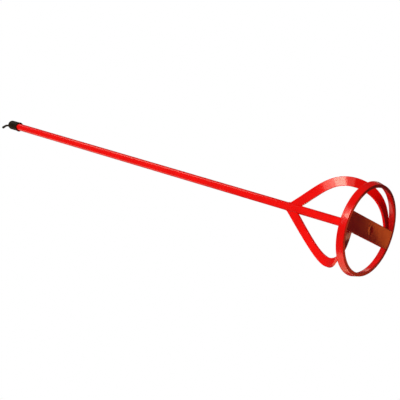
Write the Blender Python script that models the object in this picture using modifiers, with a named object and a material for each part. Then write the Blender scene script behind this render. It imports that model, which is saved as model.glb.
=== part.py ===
"""Drill paint mixer, 100 mm ring on a 600 mm shaft.

A welded steel stirrer: a round shaft runs down to a flat cross strap inside a ring band, and two
flat-bar blades sweep from the shaft out to the strap's ends, a half turn apart. A soft pull-off cap
covers the hexagonal drive shank. +Z runs up the shaft to the drive end, the origin is the centre of
the ring's lower face, and +X runs along the cross strap. Sizes are in metres.
"""
import math

import bmesh
import bpy
from mathutils import Matrix, Vector

MM = 0.001

# Driving dimensions
RING_LOWER_RADIUS = 50.0 * MM
RING_UPPER_RADIUS = 52.0 * MM
RING_HEIGHT = 8.0 * MM
RING_THICKNESS = 4.0 * MM
STRAP_WIDTH = 21.0 * MM
STRAP_THICKNESS = 3.0 * MM
SHAFT_RADIUS = 4.75 * MM
SHANK_FLATS = 8.0 * MM
SHANK_LENGTH = 15.0 * MM
SHANK_LEAD_IN = 1.2 * MM
CAP_TOP = 601.0 * MM
CAP_LENGTH = 22.0 * MM
BLADE_WIDTH = 10.4 * MM
BLADE_THICKNESS = 3.0 * MM

# Fits and edges
GAP = 0.3 * MM
EDGE_BREAK = 0.5 * MM
CAP_WALL = 1.1 * MM
CAP_CROWN = 2.4 * MM
CAP_DOME = 5.5 * MM
CAP_LIP = 0.35 * MM
CAP_MOUTH_DIP = 2.5 * MM
CAP_TAIL_NECK = 1.15 * MM
CAP_TAIL_END = 1.65 * MM

# Welds: bead sizes, and how far each bead's middle lies from the corner that it fills
WELD_LEG = 3.0 * MM
WELD_HOLLOW = 0.42
PLUG_SINK = 0.2 * MM
PLUG_DISH = 0.6 * MM
TOP_BEAD_RADIUS = 1.15 * MM
TOP_BEAD_STAND_OFF = 0.2 * MM
TOP_BEAD_SPREAD = 0.9 * MM
TOP_BEAD_END_INSET = (1.0 * MM, 1.4 * MM)
FOOT_BEAD_RADIUS = 1.7 * MM
FOOT_BEAD_INSET = 0.7 * MM
FOOT_BEAD_RISE = 0.4 * MM
FOOT_BEAD_REACH = 0.46
STRAP_END_BEAD_RADIUS = 1.9 * MM
STRAP_END_BEAD_INSET = 0.4 * MM
STRAP_END_BEAD_RISE = 0.6 * MM
STRAP_END_BEAD_REACH = 0.93

# Facets
RING_STEPS = 128
ROUND_STEPS = 48
CAP_STEPS = 40
BLADE_STATIONS = 64

# Heights that follow from the sizes above
STRAP_TOP = STRAP_THICKNESS
SHAFT_FOOT = 1.5 * MM
SHANK_TOP = CAP_TOP - CAP_CROWN - GAP
SHAFT_TOP = SHANK_TOP - SHANK_LENGTH
CAP_MOUTH = CAP_TOP - CAP_LENGTH

# Blade centreline: a Bezier curve from inside the shaft, out to the ring's radius and down to the
# strap's edge. The bar stands on edge at the shaft and turns to lie nearly flat at the strap.
BLADE_CONTROL = [
    Vector((1.5, -0.5, 104.5)) * MM,
    Vector((-6.0, -38.0, 59.5)) * MM,
    Vector((-22.5, -50.5, 54.5)) * MM,
    Vector((7.0, -49.0, 23.5)) * MM,
    Vector((19.5, -49.5, 9.5)) * MM,
    Vector((37.5, -9.0, 3.5)) * MM,
]
BLADE_TILT_AT_SHAFT = math.radians(13)
BLADE_TILT_AT_STRAP = math.radians(104)

# Cap tail, as (y, height over the cap's top) in millimetres: it bends over towards +Y.
CAP_TAIL_POINTS = [(1.6, -1.9), (2.5, 2.6), (3.4, 6.4), (4.8, 8.5), (6.6, 10.7), (7.7, 12.3)]

# Inside of the cap's end, as (in from the bore, down from the ceiling) in millimetres.
CAP_CEILING_STEPS = [(0.0, 2.6), (0.05, 1.5), (0.75, 0.4), (1.85, 0.0)]

# Stands for the blade beside a weld, in that weld's list of trims.
OWN_BLADE = "own blade"

# Height of the cutter that keeps the blades and welds clear of the shaft
SHAFT_CLEARANCE_HEIGHT = 200.0 * MM


# ---------------------------------------------------------------- scene helpers

def clear_scene():
    for obj in list(bpy.data.objects):
        bpy.data.objects.remove(obj, do_unlink=True)


def new_collection(name):
    collection = bpy.data.collections.new(name)
    bpy.context.scene.collection.children.link(collection)
    return collection


def new_material(name, colour, roughness, metallic):
    material = bpy.data.materials.new(name)
    material.use_nodes = True
    shader = material.node_tree.nodes["Principled BSDF"]
    shader.inputs["Base Color"].default_value = (*colour, 1.0)
    shader.inputs["Roughness"].default_value = roughness
    shader.inputs["Metallic"].default_value = metallic
    return material


def add_object(name, mesh, collection, material=None):
    obj = bpy.data.objects.new(name, mesh)
    if material is not None and not mesh.materials:
        mesh.materials.append(material)
    collection.objects.link(obj)
    return obj


def mesh_from_bmesh(name, work, smooth_angle=30):
    bmesh.ops.recalc_face_normals(work, faces=work.faces)
    mesh = bpy.data.meshes.new(name)
    work.to_mesh(mesh)
    work.free()
    mesh.shade_smooth()
    mesh.set_sharp_from_angle(angle=math.radians(smooth_angle))
    return mesh


def make_cutter(obj):
    obj.hide_render = True
    obj.display_type = "WIRE"
    return obj


def apply_boolean(obj, cutter, operation="DIFFERENCE"):
    boolean = obj.modifiers.new(operation.title() + " " + cutter.name, "BOOLEAN")
    boolean.operation = operation
    boolean.solver = "EXACT"
    boolean.object = cutter


# ---------------------------------------------------------------- shape helpers

def turned(name, outline, steps, collection, material=None, closed=False):
    """Turn an outline of (radius, height) about Z with a Screw modifier."""
    mesh = bpy.data.meshes.new(name)
    points = [(radius, 0.0, height) for radius, height in outline]
    edges = [(i, i + 1) for i in range(len(points) - 1)]
    if closed:
        edges.append((len(points) - 1, 0))
    mesh.from_pydata(points, edges, [])
    obj = add_object(name, mesh, collection, material)
    screw = obj.modifiers.new("Turn", "SCREW")
    screw.axis = "Z"
    screw.angle = math.tau
    screw.steps = steps
    screw.render_steps = steps
    screw.use_merge_vertices = True
    screw.merge_threshold = 0.00001
    screw.use_smooth_shade = True
    return obj


def rounded_box_outline(radius_inner, radius_outer, low, high, lean, corner):
    """Closed section of a bar with broken corners, leaning outwards by lean at its top."""
    def at(radius, height):
        return (radius + lean * (height - low) / (high - low), height)
    return [
        at(radius_outer - corner, high), at(radius_outer, high - corner),
        at(radius_outer, low + corner), at(radius_outer - corner, low),
        at(radius_inner + corner, low), at(radius_inner, low + corner),
        at(radius_inner, high - corner), at(radius_inner + corner, high),
    ]


def loft(name, sections, collection, material=None):
    """Skin a list of equal-sized rings of points and close both ends."""
    work = bmesh.new()
    rings = [[work.verts.new(point) for point in section] for section in sections]
    count = len(rings[0])
    for first, second in zip(rings, rings[1:]):
        for i in range(count):
            j = (i + 1) % count
            work.faces.new((first[i], first[j], second[j], second[i]))
    work.faces.new(rings[0])
    work.faces.new(rings[-1])
    return add_object(name, mesh_from_bmesh(name, work), collection, material)


def tube(name, points, radius, sizes, collection, material=None):
    """A round bar through points, its radius scaled by sizes: a bevelled curve made into a mesh."""
    curve = bpy.data.curves.new(name, "CURVE")
    curve.dimensions = "3D"
    curve.bevel_depth = radius
    curve.bevel_resolution = 4
    curve.use_fill_caps = True
    spline = curve.splines.new("POLY")
    spline.points.add(len(points) - 1)
    for knot, point, size in zip(spline.points, points, sizes):
        knot.co = (*point, 1.0)
        knot.radius = size
    holder = add_object(name + "_curve", curve, collection)
    evaluated = holder.evaluated_get(bpy.context.evaluated_depsgraph_get())
    work = bmesh.new()
    work.from_mesh(bpy.data.meshes.new_from_object(evaluated))
    bmesh.ops.remove_doubles(work, verts=work.verts, dist=GAP / 100)
    bpy.data.objects.remove(holder, do_unlink=True)
    return add_object(name, mesh_from_bmesh(name, work), collection, material)


def smooth_route(points, per_span=5):
    """Catmull-Rom points through a short route."""
    ends = [points[0] * 2 - points[1]] + points + [points[-1] * 2 - points[-2]]
    route = []
    for a, b, c, d in zip(ends, ends[1:], ends[2:], ends[3:]):
        for step in range(per_span):
            t = step / per_span
            route.append(0.5 * (2 * b + (c - a) * t + (2 * a - 5 * b + 4 * c - d) * t ** 2
                                + (3 * b - a - 3 * c + d) * t ** 3))
    route.append(points[-1])
    return route


# ---------------------------------------------------------------- blade path

def bezier(control, t):
    points = list(control)
    while len(points) > 1:
        points = [a.lerp(b, t) for a, b in zip(points, points[1:])]
    return points[0]


def blade_frame(t):
    """Centre, width direction and face normal of the bar at t, 0 at the shaft to 1 at the strap."""
    step = 0.001
    centre = bezier(BLADE_CONTROL, t)
    along = (bezier(BLADE_CONTROL, t + step) - bezier(BLADE_CONTROL, t - step)).normalized()
    tilt = BLADE_TILT_AT_SHAFT + (BLADE_TILT_AT_STRAP - BLADE_TILT_AT_SHAFT) * t
    normal = Vector((-math.cos(tilt), 0.0, -math.sin(tilt)))
    normal = (normal - along * normal.dot(along)).normalized()
    return centre, normal.cross(along), normal


def bar_section(centre, across, normal, width, thickness, corner):
    half_width, half_thick = width / 2, thickness / 2
    corners = [
        (half_width - corner, half_thick), (-half_width + corner, half_thick),
        (-half_width, half_thick - corner), (-half_width, -half_thick + corner),
        (-half_width + corner, -half_thick), (half_width - corner, -half_thick),
        (half_width, -half_thick + corner), (half_width, half_thick - corner),
    ]
    return [centre + across * x + normal * y for x, y in corners]


def blade_loft(name, grow, collection, material=None):
    sections = []
    for i in range(BLADE_STATIONS + 1):
        centre, across, normal = blade_frame(i / BLADE_STATIONS)
        width = BLADE_WIDTH + 2 * grow
        thickness = BLADE_THICKNESS + 2 * grow
        sections.append(bar_section(centre, across, normal, width, thickness, EDGE_BREAK))
    return loft(name, sections, collection, material)


def blade_edge_on_shaft(side):
    """Where one long edge of the bar (side +1 or -1) comes out of the shaft's surface."""
    for i in range(400):
        centre, across, _ = blade_frame(i / 400)
        point = centre + across * side * BLADE_WIDTH / 2
        if math.hypot(point.x, point.y) > SHAFT_RADIUS:
            return point
    return point


# ---------------------------------------------------------------- cutters

def make_cutters(collection):
    cutters = {}
    clear = SHAFT_RADIUS + GAP
    top = SHAFT_CLEARANCE_HEIGHT
    cutters["shaft"] = turned("shaft_clearance", [(0, top), (clear, top), (clear, 0), (0, 0)],
                              ROUND_STEPS, collection)
    cutters["blade_a"] = blade_loft("blade_a_clearance", GAP, collection)
    cutters["blade_b"] = add_object("blade_b_clearance", cutters["blade_a"].data, collection)
    cutters["blade_b"].rotation_euler = (0, 0, math.pi)

    lean = RING_UPPER_RADIUS - RING_LOWER_RADIUS
    inner = RING_LOWER_RADIUS - RING_THICKNESS - GAP
    outline = rounded_box_outline(inner, RING_LOWER_RADIUS + GAP, -GAP, RING_HEIGHT + GAP,
                                  lean, EDGE_BREAK)
    cutters["ring"] = turned("ring_clearance", outline, RING_STEPS, collection, closed=True)

    cutters["ring_inside"] = turned(
        "ring_inside", [(0, RING_HEIGHT), (inner + lean, RING_HEIGHT), (inner, 0),
                        (inner - lean, -RING_HEIGHT), (0, -RING_HEIGHT)], RING_STEPS, collection)

    cutters["plug_hole"] = turned(
        "plug_hole", [(0, 2 * STRAP_TOP), (clear, 2 * STRAP_TOP), (clear, EDGE_BREAK),
                      (clear + 2 * EDGE_BREAK, -EDGE_BREAK), (0, -EDGE_BREAK)], ROUND_STEPS, collection)

    tall = 4 * STRAP_THICKNESS
    wide = STRAP_WIDTH + 2 * GAP
    cutters["strap"] = strap_box("strap_clearance", wide, STRAP_THICKNESS + 2 * GAP, collection)
    cutters["strap_edges"] = strap_box("strap_edges", wide, tall, collection)
    cutters["over_strap"] = strap_box("over_strap", STRAP_WIDTH, tall, collection)
    for cutter in cutters.values():
        make_cutter(cutter)
    return cutters


def strap_box(name, width, thickness, collection, material=None):
    work = bmesh.new()
    bmesh.ops.create_cube(work, size=1.0)
    bmesh.ops.scale(work, vec=(2 * RING_LOWER_RADIUS, width, thickness), verts=work.verts)
    bmesh.ops.translate(work, vec=(0, 0, STRAP_THICKNESS / 2), verts=work.verts)
    return add_object(name, mesh_from_bmesh(name, work), collection, material)


# ---------------------------------------------------------------- sub-parts

def make_ring_band(parts, paint):
    outline = rounded_box_outline(RING_LOWER_RADIUS - RING_THICKNESS, RING_LOWER_RADIUS, 0,
                                  RING_HEIGHT, RING_UPPER_RADIUS - RING_LOWER_RADIUS, EDGE_BREAK)
    return turned("ring_band", outline, RING_STEPS, parts, paint, closed=True)


def make_cross_strap(parts, cutters, paint):
    strap = strap_box("cross_strap", STRAP_WIDTH, STRAP_THICKNESS, parts, paint)
    apply_boolean(strap, cutters["ring_inside"], "INTERSECT")
    apply_boolean(strap, cutters["plug_hole"])
    return strap


def make_shaft(parts, paint):
    chamfer = EDGE_BREAK
    outline = [(0, SHAFT_TOP), (SHAFT_RADIUS - chamfer, SHAFT_TOP),
               (SHAFT_RADIUS, SHAFT_TOP - chamfer), (SHAFT_RADIUS, SHAFT_FOOT), (0, SHAFT_FOOT)]
    return turned("shaft", outline, ROUND_STEPS, parts, paint)


def make_drive_shank(parts, steel):
    """Hexagonal bar with a turned lead-in at its free end."""
    corner_radius = SHANK_FLATS / 2 / math.cos(math.pi / 6)
    low = SHAFT_TOP + GAP
    depth = SHANK_TOP - low
    work = bmesh.new()
    bmesh.ops.create_cone(work, cap_ends=True, segments=6, radius1=corner_radius,
                          radius2=corner_radius, depth=depth)
    bmesh.ops.rotate(work, matrix=Matrix.Rotation(math.pi / 6, 3, "Z"), verts=work.verts)
    bmesh.ops.translate(work, vec=(0, 0, low + depth / 2), verts=work.verts)
    top_edges = [e for e in work.edges if all(v.co.z > SHANK_TOP - GAP for v in e.verts)]
    bmesh.ops.bevel(work, geom=top_edges, offset=SHANK_LEAD_IN, segments=1, affect="EDGES")
    return add_object("drive_shank", mesh_from_bmesh("drive_shank", work), parts, steel)


def make_end_cap(parts, guides, vinyl):
    """Cup with a lipped, dipped mouth and a domed end, joined to its bent pull tail."""
    bore = SHAFT_RADIUS + GAP
    outer = bore + CAP_WALL
    ceiling = CAP_TOP - CAP_CROWN
    turns = [math.pi / 2 * i / 8 for i in range(9)]
    outline = [(outer * math.sin(t), CAP_TOP - CAP_DOME * (1 - math.cos(t))) for t in turns]
    turns = [math.pi * i / 6 for i in range(7)]
    lip = 1.2 * CAP_WALL
    outline += [(outer + CAP_LIP * math.sin(t), CAP_MOUTH + lip * (1 + math.cos(t))) for t in turns]
    outline += [(bore + GAP, CAP_MOUTH), (bore, CAP_MOUTH + 2 * GAP)]
    outline += [(bore - inward * MM, ceiling - down * MM) for inward, down in CAP_CEILING_STEPS]
    outline.append((0, ceiling))
    cap = turned("end_cap", outline, CAP_STEPS, parts, vinyl)
    scallops = mouth_scallops(outer, guides)
    apply_boolean(cap, scallops)
    route = smooth_route([Vector((0, y, z)) * MM + Vector((0, 0, CAP_TOP))
                          for y, z in CAP_TAIL_POINTS])
    last = len(route) - 1
    sizes = []
    for i in range(last + 1):
        swell = CAP_TAIL_NECK / CAP_TAIL_END * (1 - i / last) + i / last
        tip = max(0.0, (i - last + 2) / 2)
        sizes.append(swell * math.sqrt(max(0.08, 1 - tip ** 2)))
    tail = tube("cap_tail", route, CAP_TAIL_END, sizes, guides)
    floor = ceiling + 2 * GAP
    below = turned("cap_tail_floor", [(0, floor), (outer, floor), (outer, floor - 2 * CAP_DOME),
                                      (0, floor - 2 * CAP_DOME)], CAP_STEPS, guides)
    make_cutter(tail)
    make_cutter(below)
    apply_boolean(tail, below)
    apply_boolean(cap, tail, "UNION")
    return cap


def mouth_scallops(radius, collection):
    """Prism along Y whose top bows up to either side, to dip the mouth towards +X and -X."""
    reach = 1.5 * radius
    rise = CAP_MOUTH_DIP + GAP
    profile = []
    for i in range(17):
        x = reach * (i / 8 - 1)
        profile.append((x, CAP_MOUTH - GAP + rise * (x / radius) ** 2))
    profile += [(reach, CAP_MOUTH - reach), (-reach, CAP_MOUTH - reach)]
    sections = [[Vector((x, y, z)) for x, z in profile] for y in (-reach, reach)]
    return make_cutter(loft("mouth_scallops", sections, collection))


def make_blades(parts, cutters, paint):
    """Two like bars, a half turn apart, mitred against the shaft's side and the strap's edge."""
    blade_a = blade_loft("blade_a", 0, parts, paint)
    blade_b = add_object("blade_b", blade_a.data, parts)
    blade_b.rotation_euler = (0, 0, math.pi)
    for blade in (blade_a, blade_b):
        apply_boolean(blade, cutters["shaft"])
        apply_boolean(blade, cutters["strap_edges"])
    return blade_a, blade_b


def make_shaft_foot_weld(parts, paint):
    """Fillet all round the shaft on top of the strap, its face a little full of a straight slope."""
    inner = SHAFT_RADIUS + GAP
    floor = STRAP_TOP + GAP
    face = []
    for i in range(7):
        turn = math.pi / 2 * i / 6
        bulge = WELD_LEG * (1 - WELD_HOLLOW * math.sin(2 * turn))
        face.append((inner + bulge * math.sin(turn), floor + bulge * math.cos(turn)))
    return turned("shaft_foot_weld", face + [(inner, floor)], ROUND_STEPS, parts, paint, closed=True)


def make_plug_weld(parts, paint):
    """Weld that fills the strap's hole under the shaft's end, its dished face just inside the strap's."""
    rim = SHAFT_RADIUS
    top = SHAFT_FOOT - GAP
    dish = [(rim * f, PLUG_SINK + PLUG_DISH * (1 - f ** 2)) for f in (1.0, 0.9, 0.75, 0.55, 0.3, 0.0)]
    return turned("plug_weld", [(0, top), (rim, top)] + dish, ROUND_STEPS, parts, paint)


def make_pair(name, route, radius, trims, parts, cutters, paint):
    """A weld bead at blade A and its copy at blade B, each trimmed clear of what it joins."""
    last = len(route) - 1
    fullness = [math.sqrt(max(0.12, 1 - abs(2 * i / last - 1) ** 6)) for i in range(last + 1)]
    bead = tube(name.format("a"), route, radius, fullness, parts, paint)
    twin = add_object(name.format("b"), bead.data, parts)
    twin.rotation_euler = (0, 0, math.pi)
    for obj, own_blade in ((bead, "blade_a"), (twin, "blade_b")):
        for cutter, operation in trims:
            apply_boolean(obj, cutters[own_blade if cutter == OWN_BLADE else cutter], operation)


def make_blade_top_welds(parts, cutters, paint):
    """Horseshoe bead up one face of the bar's root, over its end and down the other face."""
    ends = sorted((blade_edge_on_shaft(1), blade_edge_on_shaft(-1)), key=lambda point: point.z)
    middle = (ends[0] + ends[1]) / 2
    facing = math.atan2(middle.y, middle.x)
    radius = SHAFT_RADIUS + TOP_BEAD_STAND_OFF
    reach = BLADE_THICKNESS / 2 + TOP_BEAD_SPREAD
    low = ends[0].z + TOP_BEAD_END_INSET[0]
    shoulder = ends[1].z - TOP_BEAD_END_INSET[1]
    runs = [low + (shoulder - low) * i / 5 for i in range(5)]
    bends = [math.pi * i / 10 for i in range(11)]
    marks = [(-reach, z) for z in runs]
    marks += [(-reach * math.cos(t), shoulder + reach * math.sin(t)) for t in bends]
    marks += [(reach, z) for z in reversed(runs)]
    route = []
    for sideways, z in marks:
        turn = facing + sideways / radius
        route.append(Vector((radius * math.cos(turn), radius * math.sin(turn), z)))
    trims = [("shaft", "DIFFERENCE"), (OWN_BLADE, "DIFFERENCE")]
    make_pair("blade_{}_top_weld", route, TOP_BEAD_RADIUS, trims, parts, cutters, paint)


def make_blade_foot_welds(parts, cutters, paint):
    """Bead along the strap's edge, in the corner against the end of the blade's foot."""
    foot, across, _ = blade_frame(1.0)
    reach = FOOT_BEAD_REACH * BLADE_WIDTH * abs(across.x)
    place = Vector((0, FOOT_BEAD_INSET - STRAP_WIDTH / 2, STRAP_TOP + GAP + FOOT_BEAD_RISE))
    route = [place + Vector((foot.x + reach * (i / 4 - 1), 0, 0)) for i in range(9)]
    trims = [("over_strap", "INTERSECT"), ("strap", "DIFFERENCE")]
    make_pair("blade_{}_foot_weld", route, FOOT_BEAD_RADIUS, trims, parts, cutters, paint)


def make_strap_end_welds(parts, cutters, paint):
    """Fillet on the strap along the ring's inner face, beside the blade's foot."""
    lean = (RING_UPPER_RADIUS - RING_LOWER_RADIUS) / RING_HEIGHT
    radius = RING_LOWER_RADIUS - RING_THICKNESS + lean * STRAP_TOP - GAP - STRAP_END_BEAD_INSET
    half_angle = STRAP_END_BEAD_REACH * math.asin(STRAP_WIDTH / 2 / radius)
    route = []
    for i in range(11):
        turn = half_angle * (i / 5 - 1)
        route.append(Vector((radius * math.cos(turn), radius * math.sin(turn),
                             STRAP_TOP + GAP + STRAP_END_BEAD_RISE)))
    trims = [("ring", "DIFFERENCE"), ("strap", "DIFFERENCE"), (OWN_BLADE, "DIFFERENCE")]
    make_pair("strap_end_weld_{}", route, STRAP_END_BEAD_RADIUS, trims, parts, cutters, paint)


def build():
    clear_scene()
    parts = new_collection("drill_paint_mixer")
    guides = new_collection("cutters")
    paint = new_material("red_paint", (0.80, 0.008, 0.003), 0.25, 0.0)
    weld_paint = new_material("red_paint_on_weld", (0.76, 0.010, 0.004), 0.32, 0.0)
    steel = new_material("bare_steel", (0.56, 0.55, 0.52), 0.30, 1.0)
    vinyl = new_material("black_vinyl", (0.012, 0.009, 0.006), 0.38, 0.0)

    cutters = make_cutters(guides)
    make_ring_band(parts, paint)
    make_cross_strap(parts, cutters, paint)
    make_shaft(parts, paint)
    make_blades(parts, cutters, paint)
    make_shaft_foot_weld(parts, weld_paint)
    make_plug_weld(parts, weld_paint)
    make_blade_top_welds(parts, cutters, weld_paint)
    make_blade_foot_welds(parts, cutters, weld_paint)
    make_strap_end_welds(parts, cutters, weld_paint)
    make_drive_shank(parts, steel)
    make_end_cap(parts, guides, vinyl)


build()
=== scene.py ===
import math

import bmesh
import bpy
from mathutils import Matrix, Vector, noise


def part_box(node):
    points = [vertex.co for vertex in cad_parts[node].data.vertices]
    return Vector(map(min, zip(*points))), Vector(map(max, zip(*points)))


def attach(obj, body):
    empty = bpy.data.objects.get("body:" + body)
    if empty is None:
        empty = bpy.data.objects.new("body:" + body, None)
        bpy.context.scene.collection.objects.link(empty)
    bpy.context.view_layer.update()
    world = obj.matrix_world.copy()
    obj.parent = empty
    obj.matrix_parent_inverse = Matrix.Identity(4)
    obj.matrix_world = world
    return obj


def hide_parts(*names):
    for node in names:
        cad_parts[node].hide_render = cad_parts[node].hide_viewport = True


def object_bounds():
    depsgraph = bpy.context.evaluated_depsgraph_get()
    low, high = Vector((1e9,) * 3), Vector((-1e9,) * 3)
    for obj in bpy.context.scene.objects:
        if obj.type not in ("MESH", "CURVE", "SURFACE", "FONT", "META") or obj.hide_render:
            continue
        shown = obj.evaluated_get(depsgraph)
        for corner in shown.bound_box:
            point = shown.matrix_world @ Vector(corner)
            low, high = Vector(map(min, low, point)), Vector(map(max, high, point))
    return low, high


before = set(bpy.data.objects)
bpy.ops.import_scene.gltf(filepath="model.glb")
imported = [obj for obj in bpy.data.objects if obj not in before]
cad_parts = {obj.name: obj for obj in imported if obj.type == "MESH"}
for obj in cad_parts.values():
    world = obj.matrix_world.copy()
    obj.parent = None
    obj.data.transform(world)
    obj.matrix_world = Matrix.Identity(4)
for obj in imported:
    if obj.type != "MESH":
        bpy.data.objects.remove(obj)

MM = 0.001
CAD_LOW, CAD_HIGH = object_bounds()

# Sizes read from the frame
_, RING_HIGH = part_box("ring_band")
_, STRAP_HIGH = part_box("cross_strap")
SHAFT_LOW, SHAFT_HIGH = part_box("shaft")
SHANK_LOW, SHANK_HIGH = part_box("drive_shank")
CAP_LOW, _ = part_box("end_cap")
STRAP_TOP = STRAP_HIGH.z
STRAP_HALF_WIDTH = STRAP_HIGH.y
SHAFT_RADIUS = SHAFT_HIGH.x

# Ring and strap: the ring's section leans outward by its flare from bottom to top
RING_FLARE = 2.0 * MM
RING_THICKNESS = 4.0 * MM
RING_OUTER = RING_HIGH.x - RING_FLARE
RING_INNER = RING_OUTER - RING_THICKNESS
RING_LEAN = RING_FLARE / RING_HIGH.z
BAR_CORNER = 0.55 * MM
STRAP_BITE = 0.2 * MM
PLUG_RADIUS = 5.0 * MM
PLUG_HOLE_EDGE = 0.3 * MM

# Shaft and its bare shank
SHAFT_EDGE = 0.5 * MM
SHAFT_PLAIN_END = 8 * MM
SHANK_TUCK = 0.4 * MM
SHANK_CORNER = 0.4 * MM
SHANK_LEAD_IN = 1.2 * MM

# Blades: the flat bar, and its centreline and tilt, as in the CAD
BLADE_WIDTH = 10.4 * MM
BLADE_THICKNESS = 3.0 * MM
BLADE_CONTROL = [
    Vector((1.5, -0.5, 104.5)) * MM,
    Vector((-6.0, -38.0, 59.5)) * MM,
    Vector((-22.5, -50.5, 54.5)) * MM,
    Vector((7.0, -49.0, 23.5)) * MM,
    Vector((19.5, -49.5, 9.5)) * MM,
    Vector((37.5, -9.0, 3.5)) * MM,
]
BLADE_TILT_AT_SHAFT = math.radians(13)
BLADE_TILT_AT_STRAP = math.radians(104)
BLADE_STATIONS = 180
BLADE_FOOT_HEIGHT = 20 * MM

# Weld beads: how thick each is, and where its middle runs beside what it joins
TOP_BEAD_RADIUS = 1.05 * MM
TOP_BEAD_SINK = 0.45 * MM
TOP_BEAD_SPREAD = 0.5 * MM
TOP_BEAD_LOW_INSET = 1.0 * MM
TOP_BEAD_HIGH_INSET = 1.2 * MM
FOOT_BEAD_RADIUS = 1.7 * MM
FOOT_BEAD_INSET = 0.3 * MM
FOOT_BEAD_LIFT = 0.4 * MM
STRAP_END_BEAD_RADIUS = 1.9 * MM
STRAP_END_BEAD_LIFT = 0.3 * MM
STRAP_END_BEAD_SHARE = 0.92
SHAFT_FOOT_BEAD_RADIUS = 2.3 * MM
SHAFT_FOOT_BEAD_OFFSET = 0.5 * MM
BEAD_STEP = 0.2 * MM
BEAD_SIDES = 28

# Weld ripples
RIPPLE_PITCH = 1.3 * MM
RIPPLE_DEPTH = 0.16 * MM
RIPPLE_LAG = 0.9 * MM
RIPPLE_DRIFT_LENGTH = 3 * MM
RIPPLE_WAVER_LENGTH = 4 * MM

# Plug weld: how far its rim is sunk above the strap's underside, and how much deeper its middle is
PLUG_BITE = 0.1 * MM
PLUG_SINK = 0.15 * MM
PLUG_DISH = 0.72 * MM
PLUG_SWIRL = 0.05 * MM
PLUG_ROUGHNESS = 0.04 * MM
PLUG_TOP = 1.6 * MM

# Cap
CAP_SLACK = 0.25 * MM
CAP_WALL = 1.1 * MM
CAP_DOME = 5.5 * MM
CAP_DOME_TOP = 601.0 * MM
CAP_CEILING = CAP_DOME_TOP - 2.4 * MM
CAP_LIP_RADIUS = 1.05 * MM
CAP_LIP_PROUD = 0.4 * MM
CAP_MOUTH_DIP = 2.5 * MM
CAP_MOUTH_MARGIN = 0.3 * MM
CAP_SKIN_STEP = 0.22 * MM
CAP_BORE_RADIUS = SHAFT_RADIUS + CAP_SLACK
CAP_RADIUS = CAP_BORE_RADIUS + CAP_WALL

# Cap tail: (y, height over the cap's dome) in millimetres, as in the CAD
CAP_TAIL_POINTS = [(1.6, -1.9), (2.5, 2.6), (3.4, 6.4), (4.8, 8.5), (6.6, 10.7), (7.7, 12.3)]
CAP_TAIL_NECK = 1.15 * MM
CAP_TAIL_END = 1.75 * MM
CAP_TAIL_ROOT_SWELL = 0.6 * MM
CAP_TAIL_SIDES = 20

ROUND_STEPS = 96
HALF_TURN = Matrix.Rotation(math.pi, 4, "Z")


# ---------------------------------------------------------------- pieces

def piece(name, mesh, body, slot, material, *nodes, smooth_angle=35):
    """Put a finished mesh in the scene, riding on its body in place of its CAD nodes."""
    mesh.materials.clear()
    mesh.materials.append(material)
    mesh.shade_smooth()
    mesh.set_sharp_from_angle(angle=math.radians(smooth_angle))
    obj = bpy.data.objects.new(name, mesh)
    bpy.context.scene.collection.objects.link(obj)
    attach(obj, body)
    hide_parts(*nodes)
    return obj


def even_normals(obj):
    """Let wide flats keep their own normals beside small rounded corners."""
    modifier = obj.modifiers.new("Even normals", "WEIGHTED_NORMAL")
    modifier.keep_sharp = True


def to_mesh(name, work):
    """A named mesh from a finished surface, with its faces turned outward."""
    bmesh.ops.recalc_face_normals(work, faces=work.faces)
    mesh = bpy.data.meshes.new(name)
    work.to_mesh(mesh)
    work.free()
    return mesh


def spaced(first, last, count):
    """count + 1 even values from first to last."""
    return [first + (last - first) * i / count for i in range(count + 1)]


def on_circle(radius, turn, height):
    """The point at a radius and an angle about Z, at a height."""
    return Vector((radius * math.cos(turn), radius * math.sin(turn), height))


def add_band(work, first, second):
    """Join two closed rows of the same number of points with faces."""
    count = len(first)
    for i in range(count):
        j = (i + 1) % count
        work.faces.new((first[i], first[j], second[j], second[i]))


def skin(sections, closed_run=False):
    """Join equal-sized closed sections into a surface, capped unless it runs round to its start."""
    work = bmesh.new()
    rows = [[work.verts.new(point) for point in section] for section in sections]
    for first, second in zip(rows, rows[1:]):
        add_band(work, first, second)
    if closed_run:
        add_band(work, rows[-1], rows[0])
    else:
        work.faces.new(rows[0])
        work.faces.new(rows[-1])
    return work


def turned(outline, steps):
    """Turn a closed outline of (radius, height) about Z; points on the axis are merged."""
    sections = []
    for i in range(steps):
        turn = math.tau * i / steps
        sections.append([on_circle(radius, turn, height) for radius, height in outline])
    work = skin(sections, closed_run=True)
    bmesh.ops.remove_doubles(work, verts=work.verts, dist=0.001 * MM)
    return work


def rounded_corners(corners, radius, segments):
    """Replace each corner of a closed outline of 2-D points with an arc."""
    outline = []
    count = len(corners)
    for i, corner in enumerate(corners):
        corner = Vector(corner)
        before = (Vector(corners[i - 1]) - corner).normalized()
        after = (Vector(corners[(i + 1) % count]) - corner).normalized()
        half = before.angle(after) / 2
        reach = radius / math.tan(half)
        centre = corner + (before + after).normalized() * radius / math.sin(half)
        start = corner + before * reach - centre
        end = corner + after * reach - centre
        sweep = math.atan2(start.x * end.y - start.y * end.x, start.dot(end))
        for turn in spaced(0, sweep, segments):
            outline.append((centre.x + start.x * math.cos(turn) - start.y * math.sin(turn),
                            centre.y + start.x * math.sin(turn) + start.y * math.cos(turn)))
    return outline


def smooth_route(points, per_span):
    """Catmull-Rom points through a short route."""
    ends = [points[0] * 2 - points[1]] + points + [points[-1] * 2 - points[-2]]
    route = []
    for a, b, c, d in zip(ends, ends[1:], ends[2:], ends[3:]):
        for step in range(per_span):
            t = step / per_span
            route.append(0.5 * (2 * b + (c - a) * t + (2 * a - 5 * b + 4 * c - d) * t ** 2
                                + (3 * b - a - 3 * c + d) * t ** 3))
    route.append(points[-1])
    return route


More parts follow.
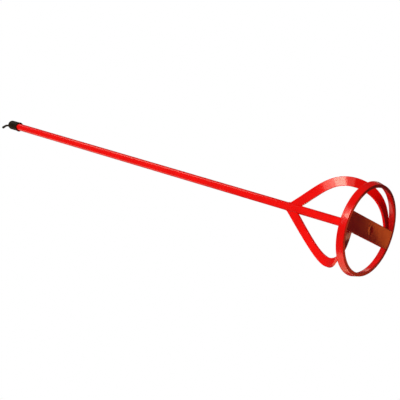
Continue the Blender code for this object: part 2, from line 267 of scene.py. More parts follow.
def evaluated_mesh(obj):
    """The object's mesh with its modifiers applied."""
    graph = bpy.context.evaluated_depsgraph_get()
    return bpy.data.meshes.new_from_object(obj.evaluated_get(graph))


def boolean(mesh, cutter_mesh, operation):
    """Apply one exact Boolean between two meshes and return the new mesh."""
    body = bpy.data.objects.new("boolean_body", mesh)
    cutter = bpy.data.objects.new("boolean_cutter", cutter_mesh)
    for obj in (body, cutter):
        bpy.context.scene.collection.objects.link(obj)
    modifier = body.modifiers.new(operation, "BOOLEAN")
    modifier.operation = operation
    modifier.solver = "EXACT"
    modifier.object = cutter
    result = evaluated_mesh(body)
    for obj in (body, cutter):
        bpy.data.objects.remove(obj, do_unlink=True)
    return result


# ---------------------------------------------------------------- ring, strap, shaft

def make_ring(paint):
    """Flat bar rolled into a ring, with broken edges."""
    corners = [(RING_INNER, 0.0), (RING_OUTER, 0.0), (RING_OUTER + RING_FLARE, RING_HIGH.z),
               (RING_INNER + RING_FLARE, RING_HIGH.z)]
    outline = rounded_corners(corners, BAR_CORNER, segments=5)
    mesh = to_mesh("ring_band_painted", turned(outline, steps=256))
    even_normals(piece("ring_band_painted", mesh, "mixer", "red_paint", paint, "ring_band"))


def make_strap(paint):
    """Flat bar, its ends shaped to the ring's inner face, with a hole for the plug weld."""
    half = STRAP_HALF_WIDTH
    corners = [(-half, 0.0), (half, 0.0), (half, STRAP_TOP), (-half, STRAP_TOP)]
    outline = rounded_corners(corners, BAR_CORNER, segments=5)
    blank_end = STRAP_HIGH.x + 1.0 * MM
    blank = skin([[Vector((x, y, z)) for y, z in outline] for x in (-blank_end, blank_end)])
    strap = to_mesh("strap_blank", blank)
    reach = RING_INNER + STRAP_BITE
    span = 6 * MM
    bowl = turned([(0, span), (reach + RING_LEAN * span, span), (reach - RING_LEAN * span, -span),
                   (0, -span)], steps=192)
    strap = boolean(strap, to_mesh("strap_bowl", bowl), "INTERSECT")
    below = 0.1 * MM
    hole = turned([(0, span), (PLUG_RADIUS, span), (PLUG_RADIUS, PLUG_HOLE_EDGE),
                   (PLUG_RADIUS + PLUG_HOLE_EDGE + below, -below), (0, -below)], steps=ROUND_STEPS)
    strap = boolean(strap, to_mesh("strap_hole", hole), "DIFFERENCE")
    even_normals(piece("cross_strap_painted", strap, "mixer", "red_paint", paint, "cross_strap"))


def make_shaft(paint):
    """Round bar with a rounded top edge, in short lengths so that its shading stays even."""
    top = SHAFT_HIGH.z
    outline = [(0, top)]
    for turn in spaced(0, math.pi / 2, 4):
        outline.append((SHAFT_RADIUS - SHAFT_EDGE + SHAFT_EDGE * math.sin(turn),
                        top - SHAFT_EDGE + SHAFT_EDGE * math.cos(turn)))
    outline += [(SHAFT_RADIUS, z) for z in spaced(top - SHAFT_PLAIN_END, SHAFT_PLAIN_END, 40)]
    outline += [(SHAFT_RADIUS, SHAFT_LOW.z), (0, SHAFT_LOW.z)]
    mesh = to_mesh("shaft_painted", turned(outline, ROUND_STEPS))
    piece("shaft_painted", mesh, "mixer", "red_paint", paint, "shaft")


def make_shank(steel):
    """Hexagonal bar with broken corners and a turned lead-in, its foot tucked into the painted shaft."""
    corner_radius = SHANK_HIGH.y / math.cos(math.pi / 6)
    corners = [on_circle(corner_radius, math.pi / 3 * k, 0).xy for k in range(6)]
    outline = rounded_corners(corners, SHANK_CORNER, segments=3)
    low = SHANK_LOW.z - SHANK_TUCK
    high = SHANK_HIGH.z
    shoulder = high - SHANK_LEAD_IN
    stations = ((low, 1.0), (low + 1.5 * MM, 1.0), (shoulder - 0.3 * MM, 1.0),
                (shoulder, 0.99), (high - 0.25 * MM, 0.79), (high, 0.74))
    sections = [[Vector((x * share, y * share, z)) for x, y in outline] for z, share in stations]
    mesh = to_mesh("drive_shank_bare", skin(sections))
    even_normals(piece("drive_shank_bare", mesh, "mixer", "bare_steel", steel, "drive_shank"))


# ---------------------------------------------------------------- blades

def bezier(control, t):
    """Point at t on the Bezier curve of the control points."""
    points = list(control)
    while len(points) > 1:
        points = [a.lerp(b, t) for a, b in zip(points, points[1:])]
    return points[0]


def blade_frame(t):
    """Centre, width direction and face normal of the bar at t, 0 at the shaft to 1 at the strap."""
    step = 0.001
    centre = bezier(BLADE_CONTROL, t)
    along = (bezier(BLADE_CONTROL, t + step) - bezier(BLADE_CONTROL, t - step)).normalized()
    tilt = BLADE_TILT_AT_SHAFT + (BLADE_TILT_AT_STRAP - BLADE_TILT_AT_SHAFT) * t
    normal = Vector((-math.cos(tilt), 0.0, -math.sin(tilt)))
    normal = (normal - along * normal.dot(along)).normalized()
    return centre, normal.cross(along), normal


def cut_foot(work):
    """Cut the bar's foot off square at the strap's edge, and close the cut. Only the foot is cut,
    because the bar crosses the same plane at the shaft."""
    foot = [face for face in work.faces if face.calc_center_median().z < BLADE_FOOT_HEIGHT]
    edges = {edge for face in foot for edge in face.edges}
    verts = {vert for face in foot for vert in face.verts}
    bmesh.ops.bisect_plane(work, geom=foot + list(edges) + list(verts),
                           plane_co=(0, -STRAP_HALF_WIDTH, 0), plane_no=(0, 1, 0), clear_outer=True)
    bmesh.ops.holes_fill(work, edges=[edge for edge in work.edges if edge.is_boundary], sides=0)


def make_blades(paint):
    """Two like bars, the second turned half round from the first."""
    half_width = BLADE_WIDTH / 2
    half_thick = BLADE_THICKNESS / 2
    corners = [(half_width, half_thick), (-half_width, half_thick),
               (-half_width, -half_thick), (half_width, -half_thick)]
    outline = rounded_corners(corners, BAR_CORNER, segments=4)
    sections = []
    for t in spaced(0, 1, BLADE_STATIONS):
        centre, across, normal = blade_frame(t)
        sections.append([centre + across * x + normal * y for x, y in outline])
    work = skin(sections)
    cut_foot(work)
    mesh = to_mesh("blade_a_painted", work)
    twin = mesh.copy()
    twin.transform(HALF_TURN)
    even_normals(piece("blade_a_painted", mesh, "mixer", "red_paint", paint, "blade_a"))
    even_normals(piece("blade_b_painted", twin, "mixer", "red_paint", paint, "blade_b"))


# ---------------------------------------------------------------- welds

def ripple(distance, angle, seed):
    """Height of overlapping weld ripples, lagging at the bead's sides, plus a slow waver."""
    lag = RIPPLE_LAG * (1 - math.cos(angle)) * 0.5
    drift = 0.18 * noise.noise(Vector((distance / RIPPLE_DRIFT_LENGTH, seed, 0.0)))
    phase = (distance - lag) / RIPPLE_PITCH + drift
    share = phase - math.floor(phase)
    scallop = math.sqrt(share) * (1 - share ** 8)
    waver = noise.noise(Vector((distance / RIPPLE_WAVER_LENGTH, angle * 0.6, seed + 7.0)))
    return RIPPLE_DEPTH * (scallop - 0.6 + 0.7 * waver)


def resampled(route, step):
    """Points at an even spacing along a polyline, and its length."""
    lengths = [0.0]
    for a, b in zip(route, route[1:]):
        lengths.append(lengths[-1] + (b - a).length)
    length = lengths[-1]
    count = max(8, round(length / step))
    points = []
    span = 0
    for i in range(count + 1):
        wanted = length * i / count
        while span < len(lengths) - 2 and lengths[span + 1] < wanted:
            span += 1
        share = (wanted - lengths[span]) / max(lengths[span + 1] - lengths[span], 1e-9)
        points.append(route[span].lerp(route[span + 1], share))
    return points, length


def bead_mesh(name, route, radius, outward, seed, closed=False):
    """A rippled weld bead along a route; outward(point) is the way its crown faces."""
    points, length = resampled(route, BEAD_STEP)
    last = len(points) - 1
    if closed:
        points = points[:-1]
    sections = []
    for i, point in enumerate(points):
        ahead = points[(i + 1) % len(points)] if closed else points[min(i + 1, last)]
        behind = points[i - 1] if closed else points[max(i - 1, 0)]
        along = (ahead - behind).normalized()
        crown = outward(point)
        crown = (crown - along * crown.dot(along)).normalized()
        side = along.cross(crown)
        taper = 1.0 if closed else math.sqrt(max(0.05, 1 - abs(2 * i / last - 1) ** 7))
        section = []
        for k in range(BEAD_SIDES):
            angle = math.tau * k / BEAD_SIDES
            size = radius * taper + ripple(length * i / last, angle, seed) * taper
            section.append(point + (crown * math.cos(angle) + side * math.sin(angle)) * size)
        sections.append(section)
    return to_mesh(name, skin(sections, closed_run=closed))


def weld_piece(node, mesh, paint):
    """A bead in place of the CAD node that it is named after."""
    piece(node + "_painted", mesh, "mixer", "red_paint_on_weld", paint, node, smooth_angle=60)


def weld_pair(nodes, route, radius, outward, paint, seed):
    """One bead for node a, and the same bead turned half round for node b."""
    mesh = bead_mesh(nodes.format("a") + "_painted", route, radius, outward, seed)
    twin = mesh.copy()
    twin.transform(HALF_TURN)
    weld_piece(nodes.format("a"), mesh, paint)
    weld_piece(nodes.format("b"), twin, paint)


def blade_edge_on_shaft(side):
    """The point where one edge of blade A comes out of the shaft; side is 1 or -1."""
    for t in spaced(0, 1, 400):
        centre, across, _ = blade_frame(t)
        point = centre + across * side * BLADE_WIDTH / 2
        if math.hypot(point.x, point.y) > SHAFT_RADIUS:
            return point
    raise ValueError("the blade's edge stays inside the shaft")


def make_top_welds(paint):
    """Horseshoe beads round the blade roots on the shaft."""
    ends = sorted((blade_edge_on_shaft(1), blade_edge_on_shaft(-1)), key=lambda point: point.z)
    middle = (ends[0] + ends[1]) / 2
    facing = math.atan2(middle.y, middle.x)
    radius = SHAFT_RADIUS - TOP_BEAD_SINK
    reach = BLADE_THICKNESS / 2 + TOP_BEAD_SPREAD
    low = ends[0].z + TOP_BEAD_LOW_INSET
    shoulder = ends[1].z - TOP_BEAD_HIGH_INSET
    climb = spaced(low, shoulder, 24)[:-1]
    marks = [(-reach, z) for z in climb]
    marks += [(-reach * math.cos(t), shoulder + reach * math.sin(t)) for t in spaced(0, math.pi, 20)]
    marks += [(reach, z) for z in reversed(climb)]
    route = [on_circle(radius, facing + sideways / radius, z) for sideways, z in marks]

    def outward(point):
        return Vector((point.x, point.y, 0)).normalized()
    weld_pair("blade_{}_top_weld", route, TOP_BEAD_RADIUS, outward, paint, seed=1.0)


def make_foot_welds(paint):
    """Beads on the strap's edge against the blade feet."""
    low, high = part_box("blade_a_foot_weld")
    y = -STRAP_HALF_WIDTH + FOOT_BEAD_INSET
    z = STRAP_TOP + FOOT_BEAD_LIFT
    route = [Vector((x, y, z)) for x in spaced(low.x, high.x, 30)]

    def outward(point):
        return Vector((0, 0.4, 1))
    weld_pair("blade_{}_foot_weld", route, FOOT_BEAD_RADIUS, outward, paint, seed=2.0)


def make_strap_end_welds(paint):
    """Fillets on the strap along the ring's inner face."""
    radius = RING_INNER + RING_LEAN * STRAP_TOP
    half_angle = STRAP_END_BEAD_SHARE * math.asin(STRAP_HALF_WIDTH / radius)
    height = STRAP_TOP + STRAP_END_BEAD_LIFT
    route = [on_circle(radius, turn, height) for turn in spaced(-half_angle, half_angle, 40)]

    def outward(point):
        return Vector((-point.x, -point.y, radius))
    weld_pair("strap_end_weld_{}", route, STRAP_END_BEAD_RADIUS, outward, paint, seed=3.0)


def make_shaft_foot_weld(paint):
    """Fillet right round the shaft's foot on the strap."""
    radius = SHAFT_RADIUS + SHAFT_FOOT_BEAD_OFFSET
    height = STRAP_TOP + SHAFT_FOOT_BEAD_OFFSET
    route = [on_circle(radius, turn, height) for turn in spaced(0, math.tau, 120)]

    def outward(point):
        return Vector((point.x, point.y, radius))
    mesh = bead_mesh("shaft_foot_weld_painted", route, SHAFT_FOOT_BEAD_RADIUS, outward, 4.0, closed=True)
    weld_piece("shaft_foot_weld", mesh, paint)


def plug_point(share, turn):
    """A point on the plug's underside, at a share of its radius: swirled, and dished where it shrank."""
    radius = share * (PLUG_RADIUS + PLUG_BITE)
    swirl = math.sin(turn + share * 15.0)
    rough = noise.noise(on_circle(radius, turn, 0) * 450)
    height = (PLUG_SINK + PLUG_DISH * (1 - share ** 2) + PLUG_SWIRL * swirl * share
              + PLUG_ROUGHNESS * rough)
    return on_circle(radius, turn, height)


def make_plug_weld(paint):
    """Hole under the shaft's end, filled with weld."""
    turns = [math.tau * k / ROUND_STEPS for k in range(ROUND_STEPS)]
    work = bmesh.new()
    rows = []
    for share in spaced(0, 1, 26):
        rows.append([work.verts.new(plug_point(share, turn)) for turn in turns])
    top = [work.verts.new((vert.co.x * 0.8, vert.co.y * 0.8, PLUG_TOP)) for vert in rows[-1]]
    rows.append(top)
    for first, second in zip(rows, rows[1:]):
        add_band(work, first, second)
    work.faces.new(top)
    bmesh.ops.remove_doubles(work, verts=work.verts, dist=0.001 * MM)
    weld_piece("plug_weld", to_mesh("plug_weld_painted", work), paint)


# ---------------------------------------------------------------- cap

def cap_cup():
    """Domed cup with a rolled lip at its mouth and a rounded ceiling inside."""
    mouth = CAP_LOW.z
    outline = [(CAP_RADIUS * math.sin(turn), CAP_DOME_TOP - CAP_DOME * (1 - math.cos(turn)))
               for turn in spaced(0, math.pi / 2, 20)]
    outline += [(CAP_RADIUS, mouth + 3.6 * MM), (CAP_RADIUS + 0.05 * MM, mouth + 2.9 * MM)]
    lip_x = CAP_RADIUS + CAP_LIP_PROUD - CAP_LIP_RADIUS
    lip_z = mouth + CAP_LIP_RADIUS
    for turn in spaced(0.30 * math.pi, -0.98 * math.pi, 18):
        outline.append((lip_x + CAP_LIP_RADIUS * math.cos(turn),
                        lip_z + CAP_LIP_RADIUS * 1.15 * math.sin(turn)))
    outline += [(CAP_BORE_RADIUS, mouth + 2.2 * MM), (CAP_BORE_RADIUS, CAP_CEILING - 2.6 * MM),
                (CAP_BORE_RADIUS - 0.75 * MM, CAP_CEILING - 0.4 * MM),
                (CAP_BORE_RADIUS - 1.85 * MM, CAP_CEILING), (0, CAP_CEILING)]
    return to_mesh("cap_cup", turned(outline, ROUND_STEPS))


def cap_tail():
    """Bent tail left by dipping: swollen at its root, thickening a little towards a rounded tip."""
    points = [Vector((0, y * MM, CAP_DOME_TOP + z * MM)) for y, z in CAP_TAIL_POINTS]
    route = smooth_route(points, per_span=10)
    last = len(route) - 1
    root_stations = 14
    tip_stations = 5
    across = Vector((1, 0, 0))
    sections = []
    for i, point in enumerate(route):
        along = (route[min(i + 1, last)] - route[max(i - 1, 0)]).normalized()
        other = along.cross(across)
        root = max(0.0, 1 - i / root_stations)
        tip = max(0.0, (i - last + tip_stations) / tip_stations)
        radius = (CAP_TAIL_NECK + (CAP_TAIL_END - CAP_TAIL_NECK) * i / last
                  + CAP_TAIL_ROOT_SWELL * root ** 2)
        radius *= math.sqrt(max(0.02, 1 - tip ** 2.5))
        section = []
        for k in range(CAP_TAIL_SIDES):
            turn = math.tau * k / CAP_TAIL_SIDES
            section.append(point + (across * math.cos(turn) + other * math.sin(turn)) * radius)
        sections.append(section)
    return to_mesh("cap_tail", skin(sections))


def cap_mouth_cutter():
    """Prism that trims the mouth to a dip: lowest in the middle of the +Y and -Y sides."""
    mouth = CAP_LOW.z
    reach = 1.5 * CAP_RADIUS
    profile = [(x, mouth - CAP_MOUTH_MARGIN + (CAP_MOUTH_DIP + CAP_MOUTH_MARGIN) * (x / CAP_RADIUS) ** 2)
               for x in spaced(-reach, reach, 40)]
    profile += [(reach, mouth - reach), (-reach, mouth - reach)]
    prism = skin([[Vector((x, y, z)) for x, z in profile] for y in (-reach, reach)])
    return to_mesh("cap_dip", prism)


def blended(mesh):
    """The mesh made over as one even skin, its creases softened."""
    holder = bpy.data.objects.new("cap_blend", mesh)
    bpy.context.scene.collection.objects.link(holder)
    remesh = holder.modifiers.new("Skin", "REMESH")
    remesh.mode = "VOXEL"
    remesh.voxel_size = CAP_SKIN_STEP
    smooth = holder.modifiers.new("Blend", "SMOOTH")
    smooth.factor = 0.5
    smooth.iterations = 3
    result = evaluated_mesh(holder)
    bpy.data.objects.remove(holder, do_unlink=True)
    return result


def make_cap(vinyl):
    """Dip-moulded cap: cup and tail joined, the mouth trimmed, and all of it blended into one skin."""
    joined = boolean(cap_cup(), cap_tail(), "UNION")
    trimmed = boolean(joined, cap_mouth_cutter(), "DIFFERENCE")
    piece("end_cap_moulded", blended(trimmed), "cap", "black_vinyl", vinyl, "end_cap", smooth_angle=80)


# ---------------------------------------------------------------- materials

class Nodes:
    """Short hand for building one node tree."""

    def __init__(self, tree):
        self.tree = tree
        self.places = self.new("TexCoord").outputs

    def new(self, kind):
        return self.tree.nodes.new("ShaderNode" + kind)

    def link(self, value, socket):
        """Feed a socket from another one, or set it to a plain value."""
        if isinstance(value, bpy.types.NodeSocket):
            self.tree.links.new(value, socket)
        else:
            socket.default_value = value

    def noise(self, scale, detail=2.0, roughness=0.5, distortion=0.0, place=None):
        made = self.new("TexNoise")
        for key, value in (("Vector", place or self.places["Object"]), ("Scale", scale), ("Detail", detail),
                           ("Roughness", roughness), ("Distortion", distortion)):
            self.link(value, made.inputs[key])
        return made.outputs["Fac"]

    def stretched(self, scale):
        made = self.new("Mapping")
        self.link(self.places["Object"], made.inputs["Vector"])
        self.link(scale, made.inputs["Scale"])
        return made.outputs["Vector"]

    def cells(self, scale):
        made = self.new("TexVoronoi")
        self.link(self.places["Object"], made.inputs["Vector"])
        self.link(scale, made.inputs["Scale"])
        return made.outputs["Distance"]

    def remap(self, value, low, high, to_low, to_high, curve="LINEAR"):
        made = self.new("MapRange")
        made.interpolation_type = curve
        for key, item in (("Value", value), ("From Min", low), ("From Max", high),
                          ("To Min", to_low), ("To Max", to_high)):
            self.link(item, made.inputs[key])
        return made.outputs["Result"]

    def maths(self, operation, first, second):
        made = self.new("Math")
        made.operation = operation
        self.link(first, made.inputs[0])
        self.link(second, made.inputs[1])
        return made.outputs["Value"]

    def vector_maths(self, operation, *values):
        """A vector sum that gives one number, such as a length or a dot product."""
        made = self.new("VectorMath")
        made.operation = operation
        for value, socket in zip(values, made.inputs):
            self.link(value, socket)
        return made.outputs["Value"]

    def mix(self, share, first, second):
        made = self.new("Mix")
        made.data_type = "RGBA"
        for key, value in (("Factor", share), ("A", first), ("B", second)):
            self.link(value, made.inputs[key])
        return made.outputs["Result"]

    def mix_shaders(self, share, first, second):
        made = self.new("MixShader")
        for value, socket in zip((share, first, second), made.inputs):
            self.link(value, socket)
        return made.outputs["Shader"]

    def background(self, strength):
        made = self.new("Background")
        self.link((1, 1, 1, 1), made.inputs["Color"])
        self.link(strength, made.inputs["Strength"])
        return made.outputs["Background"]

    def edges(self, radius):
        """0 on flats and 1 on convex or concave edges, from how far a softened normal turns away."""
        soft = self.new("Bevel")
        soft.samples = 4
        soft.inputs["Radius"].default_value = radius
        true = self.new("NewGeometry")
        agreement = self.vector_maths("DOT_PRODUCT", soft.outputs["Normal"], true.outputs["Normal"])
        return self.remap(agreement, 1.0, 0.9, 0.0, 1.0)

    def bump(self, height, distance, strength, below=None):
        made = self.new("Bump")
        for key, value in (("Distance", distance), ("Strength", strength), ("Height", height)):
            self.link(value, made.inputs[key])
        if below is not None:
            self.link(below, made.inputs["Normal"])
        return made.outputs["Normal"]


def new_material(name):
    """A material, the short hand for its nodes and its shader."""
    material = bpy.data.materials.new(name)
    material.use_nodes = True
    return material, Nodes(material.node_tree), material.node_tree.nodes["Principled BSDF"]


def gloss_paint(name, full, deep, thin_film_and_edge_shade, peel, roughness):
    """Gloss enamel: orange peel and slow sags, dust nibs, and darker edges and creases: partly thin film,
    partly painted shade.
    """
    material, n, shader = new_material(name)
    tone = n.remap(n.noise(38, 3), 0.35, 0.68, 0.0, 1.0)
    colour = n.mix(tone, (*full, 1), (*deep, 1))
    # Darker red-brown on convex and concave edges: partly thin paint over edges, partly painted shade along
    # edges and in creases.
    colour = n.mix(n.maths("MULTIPLY", n.edges(0.6 * MM), 0.7), colour, (*thin_film_and_edge_shade, 1))
    n.link(colour, shader.inputs["Base Color"])
    smear = n.noise(55, 5, 0.6, 1.2)
    n.link(n.remap(smear, 0.3, 0.75, roughness, roughness + 0.10), shader.inputs["Roughness"])
    sags = n.bump(n.noise(95, 1), 0.10 * MM, 0.5)
    orange_peel = n.bump(n.noise(620, 2), 0.05 * MM, peel, sags)
    nibs = n.bump(n.remap(n.cells(170), 0.0, 0.07, 1.0, 0.0), 0.05 * MM, 0.3, orange_peel)
    n.link(nibs, shader.inputs["Normal"])
    n.link(1.5, shader.inputs["IOR"])
    return material


def bare_steel():
    """Drawn and turned bar: lines along it, small nicks and a thin oily tint."""
    clean = (0.56, 0.55, 0.53, 1)
    oily = (0.36, 0.32, 0.27, 1)
    material, n, shader = new_material("bare_steel_drawn")
    lines = n.noise(1.0, 4, 0.65, place=n.stretched((1800, 1800, 60)))
    stain = n.noise(240, 4, 0.6, 0.6)
    n.link(n.mix(n.remap(stain, 0.4, 0.7, 0.0, 1.0), clean, oily), shader.inputs["Base Color"])
    n.link(n.remap(lines, 0.3, 0.7, 0.22, 0.42), shader.inputs["Roughness"])
    n.link(1.0, shader.inputs["Metallic"])
    nicks = n.bump(stain, 0.05 * MM, 0.3)
    n.link(n.bump(lines, 0.03 * MM, 0.5, nicks), shader.inputs["Normal"])
    return material


def black_vinyl():
    """Dip-moulded vinyl: soft black with a brown cast, fine grain, slow dimples and scuffs on its edges."""
    dark = (0.013, 0.0085, 0.0040, 1)
    brown = (0.025, 0.0145, 0.0070, 1)
    scuffed = (0.040, 0.030, 0.020, 1)
    material, n, shader = new_material("black_vinyl_dipped")
    mottle = n.remap(n.noise(210, 4, 0.6), 0.35, 0.7, 0.0, 1.0)
    scuffs = n.maths("MULTIPLY", n.edges(0.7 * MM), 0.4)
    n.link(n.mix(scuffs, n.mix(mottle, dark, brown), scuffed), shader.inputs["Base Color"])
    n.link(0.16, shader.inputs["Specular IOR Level"])
    n.link(n.remap(n.noise(420, 3), 0.3, 0.7, 0.40, 0.58), shader.inputs["Roughness"])
    dimples = n.bump(n.noise(260, 2), 0.22 * MM, 0.5)
    n.link(n.bump(n.noise(2600, 2), 0.03 * MM, 0.35, dimples), shader.inputs["Normal"])
    return material


# ---------------------------------------------------------------- studio

FLOOR_RADIUS = 3.0
WARM_WHITE = (1.0, 0.93, 0.74)
STRAW = (1.0, 0.91, 0.55)
ORANGE = (1.0, 0.45, 0.25)
AMBER = (1.0, 0.17, 0.02)
DEEP_AMBER = (1.0, 0.09, 0.02)


def make_camera():
    """Camera below and beside the ring, looking up along the mixer and rolled so that it lies across."""
    place = Vector((-0.9581, 0.0956, -0.5456))
    look = Vector((0.7759, -0.0593, 0.6281)).normalized()
    roughly_up = Vector((-0.2590, -0.9377, 0.2315))
    right = look.cross(roughly_up).normalized()
    up = right.cross(look)
    data = bpy.data.cameras.new("main_camera")
    data.sensor_width = 36
    data.lens = 93.76
    data.clip_start = 0.05
    camera = bpy.data.objects.new("main_camera", data)
    bpy.context.scene.collection.objects.link(camera)
    camera.matrix_world = Matrix.Translation(place) @ Matrix((right, up, -look)).transposed().to_4x4()
    bpy.context.scene.camera = camera


def place_lamp(name, kind, place, target, long_axis, diffuse, gloss):
    """A lamp at place, facing target, seen only by the kinds of ray asked for."""
    lamp = bpy.data.objects.new(name, bpy.data.lights.new(name, kind))
    bpy.context.scene.collection.objects.link(lamp)
    back = (Vector(place) - Vector(target)).normalized()
    along = (long_axis - back * long_axis.dot(back)).normalized()
    turn = Matrix((along.cross(back), along, back)).transposed().to_4x4()
    lamp.matrix_world = Matrix.Translation(place) @ turn
    lamp.visible_camera = False
    lamp.visible_diffuse = diffuse
    lamp.visible_glossy = gloss
    return lamp


def far_light(name, toward, strength, spread):
    """Even white light on the whole length of the mixer from one side, kept out of its reflections."""
    lamp = place_lamp(name, "SUN", toward, (0, 0, 0), Vector((0.1, 0.3, 1)), diffuse=True, gloss=False)
    lamp.data.energy = strength
    lamp.data.angle = math.radians(spread)


def softbox(name, place, target, size, radiance, colour=(1, 1, 1), long_axis=(0, 0, 1), only_on=()):
    """A box of light seen in reflections only. Its size is (across, along its long axis), and radiance
    is its surface brightness. Where only_on names pieces, it lights those and no others."""
    lamp = place_lamp(name, "AREA", place, target, Vector(long_axis), diffuse=False, gloss=True)
    lamp.data.shape = "RECTANGLE"
    lamp.data.size, lamp.data.size_y = size
    lamp.data.energy = 4 * size[0] * size[1] * radiance
    lamp.data.color = colour
    if only_on:
        lit = bpy.data.collections.new(name + "_lights")
        for piece_name in only_on:
            lit.objects.link(bpy.data.objects[piece_name])
        lamp.light_linking.receiver_collection = lit


def make_room_lights():
    """Light from the sides, and the large boxes that all the pieces reflect."""
    far_light("key", (-0.93, -0.20, 0.10), strength=2.85, spread=40)
    far_light("table_bounce", (0.15, 0.97, 0.10), strength=1.9, spread=60)
    far_light("back_fill", (0.80, -0.20, 0.50), strength=1.2, spread=60)
    softbox("table", (0.20, 1.00, 0.20), (0, 0, 0.1), size=(1.0, 0.7), radiance=0.8, colour=STRAW)
    softbox("table_side", (0.90, 0.55, 0.20), (0, 0, 0.0), size=(0.8, 0.28), radiance=2.2, colour=STRAW)
    softbox("table_far", (0.20, 0.80, 1.30), (0, 0, 0.5), size=(0.7, 0.7), radiance=0.65, colour=WARM_WHITE)
    softbox("overhead", (-0.35, -0.80, 1.90), (0, 0, 0.1), size=(0.5, 0.5), radiance=1.0)


def make_shaft_lights():
    """The long highlight on the shaft and the cap, and three boxes for the bare shank under the cap."""
    softbox("shaft_strip", (-0.25, -0.62, 0.89), (0, 0, 0.32), size=(0.34, 0.44), radiance=1.45,
            colour=WARM_WHITE,
            only_on=["shaft_painted", "end_cap_moulded", "blade_a_painted", "blade_b_painted"])
    shank = (0, 0, SHANK_HIGH.z)
    for name, place, width, radiance in (("shank_left", (-0.9, -0.5, 0.7), 0.7, 1.1),
                                         ("shank_right", (0.6, 0.9, 0.7), 0.7, 0.8),
                                         ("shank_back", (0.9, -0.5, 0.8), 0.4, 0.5)):
        softbox(name, place, shank, size=(width, 0.9), radiance=radiance, only_on=["drive_shank_bare"])


def make_blade_lights():
    """Three strips in line, each longer and fainter, for a highlight on blade A that fades at its ends."""
    middle = Vector((-0.140, 0.007, 0.035))
    line = Vector((0.20, 0.65, 0.72))
    crown = (-0.001, -0.048, 0.040)
    for name, slide, length, radiance in (("blade_strip", 0.001, 0.068, 5.2),
                                          ("blade_glow", 0.020, 0.128, 2.7),
                                          ("blade_haze", -0.018, 0.165, 0.9)):
        softbox(name, middle + line * slide, crown, size=(0.05, length), radiance=radiance,
                colour=WARM_WHITE, long_axis=line, only_on=["blade_a_painted"])
    softbox("foot_card", (0.119, 0.055, -0.120), (-0.033, 0.016, 0.003), size=(0.07, 0.04), radiance=2.4,
            colour=ORANGE, only_on=["blade_b_painted"])


def make_ring_lights():
    """Two highlights on the ring's outside, and a warm board under it and under the strap."""
    softbox("ring_strip", (-0.262, -0.095, -0.012), (-0.05, -0.012, 0.004), size=(0.034, 0.14), radiance=9.0,
            colour=WARM_WHITE, long_axis=(0.45, -0.84, -0.3), only_on=["ring_band_painted"])
    softbox("ring_glint", (0.301, -0.286, 0.268), (0.026, 0.039, 0.003), size=(0.16, 0.16), radiance=0.6,
            colour=WARM_WHITE, only_on=["ring_band_painted"])
    softbox("ring_card", (0.31, -0.0075, -0.25), (0, 0, 0), size=(0.17, 0.135), radiance=2.0,
            colour=DEEP_AMBER, long_axis=(0, 1, 0), only_on=["ring_band_painted"])
    softbox("warm_card", (0.204, -0.037, -0.089), (0.009, -0.017, 0.016), size=(0.047, 0.20), radiance=2.5,
            colour=AMBER, long_axis=(0.32, 0.73, 0.60),
            only_on=["cross_strap_painted", "plug_weld_painted"])


def make_world():
    """White to the camera; for soft light, bright above and round the object and dim beneath it."""
    world = bpy.data.worlds.new("studio")
    bpy.context.scene.world = world
    world.use_nodes = True
    world.node_tree.nodes.clear()
    n = Nodes(world.node_tree)
    direction = n.new("SeparateXYZ")
    n.link(n.places["Generated"], direction.inputs["Vector"])
    soft = n.background(n.remap(direction.outputs["Z"], -0.35, 0.25, 0.04, 0.35))
    ray = n.new("LightPath").outputs
    reflected = n.mix_shaders(ray["Is Glossy Ray"], soft, n.background(0.05))
    seen = n.mix_shaders(ray["Is Camera Ray"], reflected, n.background(1.0))
    n.link(seen, n.new("OutputWorld").inputs["Surface"])


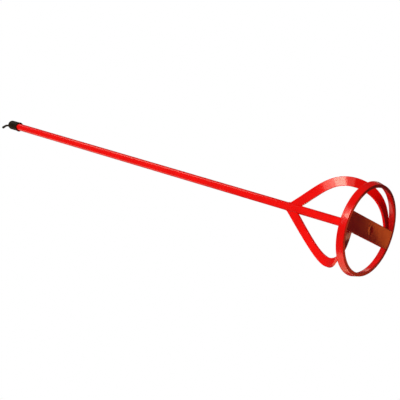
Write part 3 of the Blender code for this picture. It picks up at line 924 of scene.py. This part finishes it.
def pale_floor():
    """Dull pale grey, clear from beneath and fading to clear with distance."""
    material, n, shader = new_material("pale_floor")
    n.link(1.0, shader.inputs["Roughness"])
    n.link(0.0, shader.inputs["Specular IOR Level"])
    grain = n.noise(14, place=n.places["Generated"])
    n.link(n.remap(grain, 0.0, 1.0, 0.78, 0.84), shader.inputs["Base Color"])
    distance = n.vector_maths("LENGTH", n.places["Object"])
    fade = n.remap(distance, 0.3, FLOOR_RADIUS, 0.0, 1.0, curve="SMOOTHSTEP")
    from_beneath = n.new("NewGeometry").outputs["Backfacing"]
    clearness = n.maths("MAXIMUM", from_beneath, fade)
    seen = n.mix_shaders(clearness, shader.outputs["BSDF"], n.new("BsdfTransparent").outputs["BSDF"])
    n.link(seen, material.node_tree.nodes["Material Output"].inputs["Surface"])
    return material


def make_floor():
    """Floor under the ring that fades into the white. It is seen only from above, and by the camera only."""
    work = bmesh.new()
    bmesh.ops.create_circle(work, cap_ends=True, segments=96, radius=FLOOR_RADIUS)
    mesh = bpy.data.meshes.new("studio_floor")
    work.to_mesh(mesh)
    work.free()
    mesh.materials.append(pale_floor())
    floor = bpy.data.objects.new("studio_floor", mesh)
    floor.location.z = CAD_LOW.z - 0.05 * MM
    floor.visible_diffuse = False
    floor.visible_glossy = False
    floor.visible_transmission = False
    floor.visible_shadow = False
    bpy.context.scene.collection.objects.link(floor)


# ---------------------------------------------------------------- the scene

def build():
    """Make the pieces first: the lights name the pieces that they fall on."""
    # Each paint's last colour darkens its edges and creases: partly thin film, partly painted shade.
    paint = gloss_paint("red_gloss_paint", full=(0.88, 0.0034, 0.0016), deep=(0.76, 0.0024, 0.0012),
                        thin_film_and_edge_shade=(0.40, 0.012, 0.006), peel=0.16, roughness=0.11)
    weld_paint = gloss_paint("red_gloss_paint_on_weld", full=(0.84, 0.0034, 0.0016),
                             deep=(0.62, 0.0020, 0.0012), thin_film_and_edge_shade=(0.44, 0.012, 0.006),
                             peel=0.25, roughness=0.16)
    make_ring(paint)
    make_strap(paint)
    make_shaft(paint)
    make_blades(paint)
    make_top_welds(weld_paint)
    make_foot_welds(weld_paint)
    make_strap_end_welds(weld_paint)
    make_shaft_foot_weld(weld_paint)
    make_plug_weld(weld_paint)
    make_shank(bare_steel())
    make_cap(black_vinyl())
    make_room_lights()
    make_shaft_lights()
    make_blade_lights()
    make_ring_lights()
    make_world()
    make_floor()
    make_camera()
    bpy.context.scene.view_settings.view_transform = "Standard"


build()
